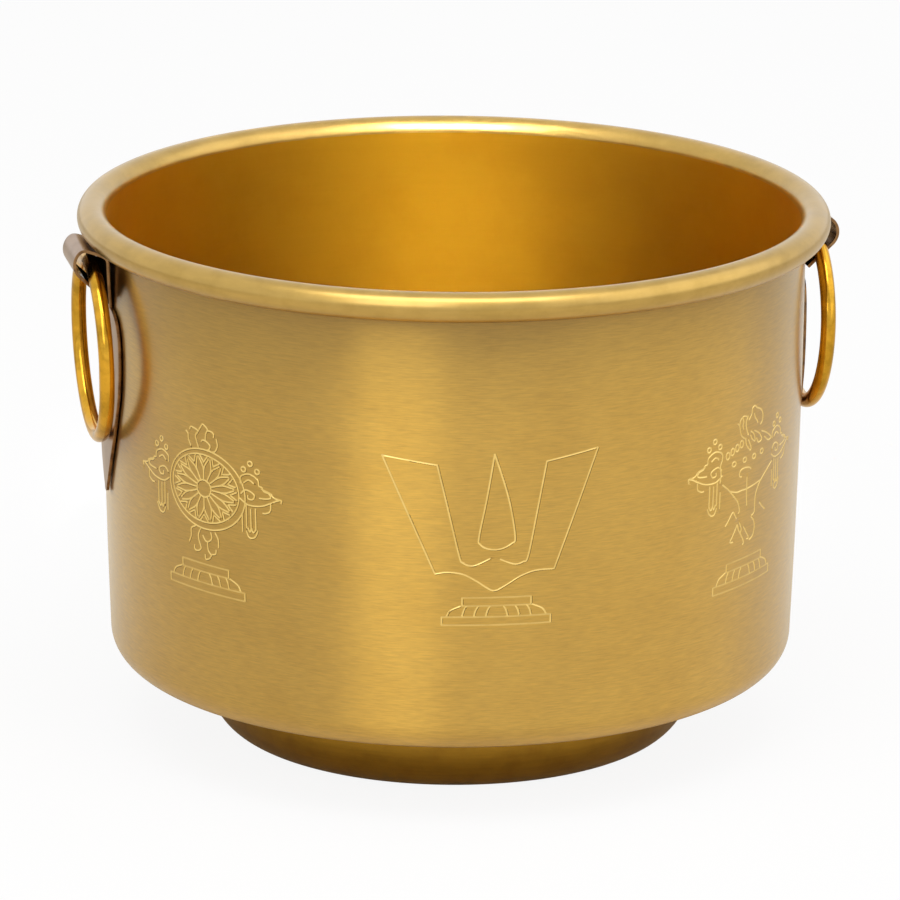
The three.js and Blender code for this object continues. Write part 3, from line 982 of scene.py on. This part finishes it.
def sheetLine():
    # the middle of the sheet seen from the side, from the strap's top round the loop to its end
    h = hanger
    strapFoot = Vector((wallRadius(h["strapFoot"]) + h["stand"] + h["sheet"] / 2, h["strapFoot"]))
    centre = Vector(h["loopCentre"])
    toLoop = centre - strapFoot
    lean = math.atan2(toLoop.x, toLoop.y) - math.asin(h["loopRadius"] / toLoop.length)
    bead = Vector(vessel["beadCentre"]) - centre
    beadAngle = math.atan2(bead.y, bead.x)
    flatReach = bead.length - h["rimRadius"] - h["stand"] - h["sheet"] / 2

    def loopPoint(degrees):
        angle = math.radians(degrees)
        facing = max(0.0, math.cos(angle - beadAngle))
        flatness = (h["loopRadius"] * facing / flatReach) ** h["squareness"]
        reach = h["loopRadius"] / (1 + flatness) ** (1 / h["squareness"])
        return centre + Vector((math.cos(angle), math.sin(angle))) * reach

    first = 180 - math.degrees(lean)
    turn = first + h["loopReturn"]
    line = [loopPoint(first - turn * i / h["loopSteps"]) for i in range(h["loopSteps"] + 1)]

    # from the loop straight back to the strap, and clear of it
    last = line[-1]
    back = math.radians(h["loopReturn"])
    fromFoot = last - strapFoot
    clear = h["sheet"] / 2 * (1 + math.cos(back - lean)) + h["stand"]
    strapWay = Vector((math.sin(lean), math.cos(lean)))
    reach = (fromFoot.x * strapWay.y - fromFoot.y * strapWay.x - clear) / math.sin(back - lean)
    end = last + Vector((-math.sin(back), -math.cos(back))) * reach
    return line + [last.lerp(end, (i + 1) / h["returnSteps"]) for i in range(h["returnSteps"])]


def bezier(a, b, c, d, steps):
    points = []
    for i in range(steps + 1):
        t = i / steps
        s = 1 - t
        points.append(tuple(
            s ** 3 * p + 3 * s * s * t * q + 3 * s * t * t * r + t ** 3 * w
            for p, q, r, w in zip(a, b, c, d)
        ))
    return points


def leafSide():
    # half width and height down the leaf's right side
    h = hanger
    shoulderSteps, sideSteps, pointSteps = h["leafSteps"]

    def at(width, down):
        return (width * h["leafHalf"], h["leafTop"] - down * h["leafLength"])

    tipHeight = at(0, 1)[1] + h["tip"]
    start, end = (h["strapHalf"], h["leafTop"]), (h["tip"], tipHeight)
    side = bezier(start, at(0.8, 0), at(1, 0.07), at(1, 0.24), shoulderSteps)
    side += bezier(at(1, 0.24), at(1, 0.44), at(0.86, 0.5), at(0.75, 0.6), sideSteps)[1:]
    side += bezier(at(0.75, 0.6), at(0.66, 0.68), at(0.3, 0.88), end, pointSteps)[1:]
    return side + arc((0, tipHeight), h["tip"], 0, -85, h["tipSteps"])[1:]


def hangerRows():
    # half width, distance from the axis, height and share of the wall's own curve, from the tip up
    h = hanger
    middle = h["stand"] + h["sheet"] / 2
    rows = [(half, wallRadius(z) + middle, z, 1.0) for half, z in reversed(leafSide())]
    line = sheetLine()
    leafEnd = Vector((wallRadius(h["leafTop"]) + middle, h["leafTop"]))
    for i in range(1, h["strapSteps"] + 1):
        share = i / h["strapSteps"]
        p = leafEnd.lerp(line[0], share)
        rows.append((h["strapHalf"], p.x, p.y, (1 - share) ** 2))
    return rows + [(h["strapHalf"], p.x, p.y, 0.0) for p in line[1:]]


def thicken(piece):
    h = hanger
    thick = piece.modifiers.new("thickness", "SOLIDIFY")
    thick.thickness = h["sheet"] * mm
    thick.offset = 0
    thick.use_even_offset = True
    eased = piece.modifiers.new("easedEdges", "BEVEL")
    eased.width = h["edgeEase"] * mm
    eased.segments = 2
    eased.limit_method = "ANGLE"
    eased.angle_limit = math.radians(h["easedFrom"])
    shaped = piece.evaluated_get(bpy.context.evaluated_depsgraph_get())
    mesh = bpy.data.meshes.new_from_object(shaped)
    piece.modifiers.clear()
    piece.data = mesh


def finishHangerFaces(mesh, turn):
    h = hanger
    outside, inside, edge, shade = range(len(hangerFinishes))
    upright = Matrix.Rotation(-turn, 3, "Z")
    loopCentre = Vector((h["loopCentre"][0], 0, h["loopCentre"][1]))
    for face in mesh.polygons:
        facing = upright @ face.normal
        fromLoop = upright @ face.center / mm - loopCentre
        fromLoop.y = 0
        face.material_index = outside
        if abs(facing.y) > h["edgeFacing"]:
            face.material_index = edge
        # painted shade: faces in and near the loop that look towards its middle
        elif fromLoop.length < h["loopRadius"] + h["insideReach"] and facing.dot(fromLoop) < 0:
            # painted shade: near black on the vessel's side of the loop, dark metal on the rest of its
            # inside
            face.material_index = shade if fromLoop.x < h["shadeReach"] else inside


def addHanger(side, turn):
    columns = hanger["columns"]
    bm = bmesh.new()
    grid = []
    for half, reach, z, curved in hangerRows():
        row = []
        for j in range(columns + 1):
            y = half * (2 * j / columns - 1)
            x = reach + curved * (math.sqrt(reach * reach - y * y) - reach)
            row.append(bm.verts.new(Vector((x, y, z)) * mm))
        grid.append(row)
    for low, high in zip(grid, grid[1:]):
        for j in range(columns):
            bm.faces.new((low[j], low[j + 1], high[j + 1], high[j]))
    piece = newPiece("hanger_sheet_" + side, bm)
    piece.data.transform(Matrix.Rotation(turn, 4, "Z"))
    thicken(piece)
    sharpFrom = hanger["sharpFrom"]
    finishPiece(piece, hangerFinishes, "bucket", "hanger_" + side, sharpFrom)
    finishHangerFaces(piece.data, turn)


# Rings: closed hoops of drawn wire

hoop = {
    "radius": 23.5, "wire": 2.0, "drop": 22.513, "axis": (97.903, 131.484), "lean": 1.88,
    "roundSteps": 180, "wireSteps": 40,
}


def addRing(side, turn):
    r = hoop
    bm = bmesh.new()
    rings = []
    for i in range(r["roundSteps"]):
        around = math.tau * i / r["roundSteps"]
        ring = []
        for j in range(r["wireSteps"]):
            across = math.tau * j / r["wireSteps"]
            reach = r["radius"] + r["wire"] * math.cos(across)
            ring.append(bm.verts.new(Vector((
                r["wire"] * math.sin(across), reach * math.sin(around), reach * math.cos(around),
            )) * mm))
        rings.append(ring)
    for here, there in zip(rings, rings[1:] + rings[:1]):
        for j in range(r["wireSteps"]):
            n = (j + 1) % r["wireSteps"]
            bm.faces.new((here[j], here[n], there[n], there[j]))
    place = (
        Matrix.Rotation(turn, 4, "Z")
        @ Matrix.Translation(Vector((r["axis"][0], 0, r["axis"][1])) * mm)
        @ Matrix.Rotation(math.radians(r["lean"]), 4, "Y")
        @ Matrix.Translation(Vector((0, 0, -r["drop"])) * mm)
    )
    bmesh.ops.transform(bm, matrix=place, verts=bm.verts)
    body = "ring_" + side   # and the name of its only solid
    finishPiece(newPiece("wire_ring_" + side, bm), ["ringWire"], body, body)


addCamera(photoView)
paintWorld(studio)
addFloor(studio)
for name, values in lamps.items():
    addLamp(name, values)
addVessel()
addFoot()
for side, turn in (("right", 0.0), ("left", math.pi)):
    addHanger(side, turn)
    addRing(side, turn)
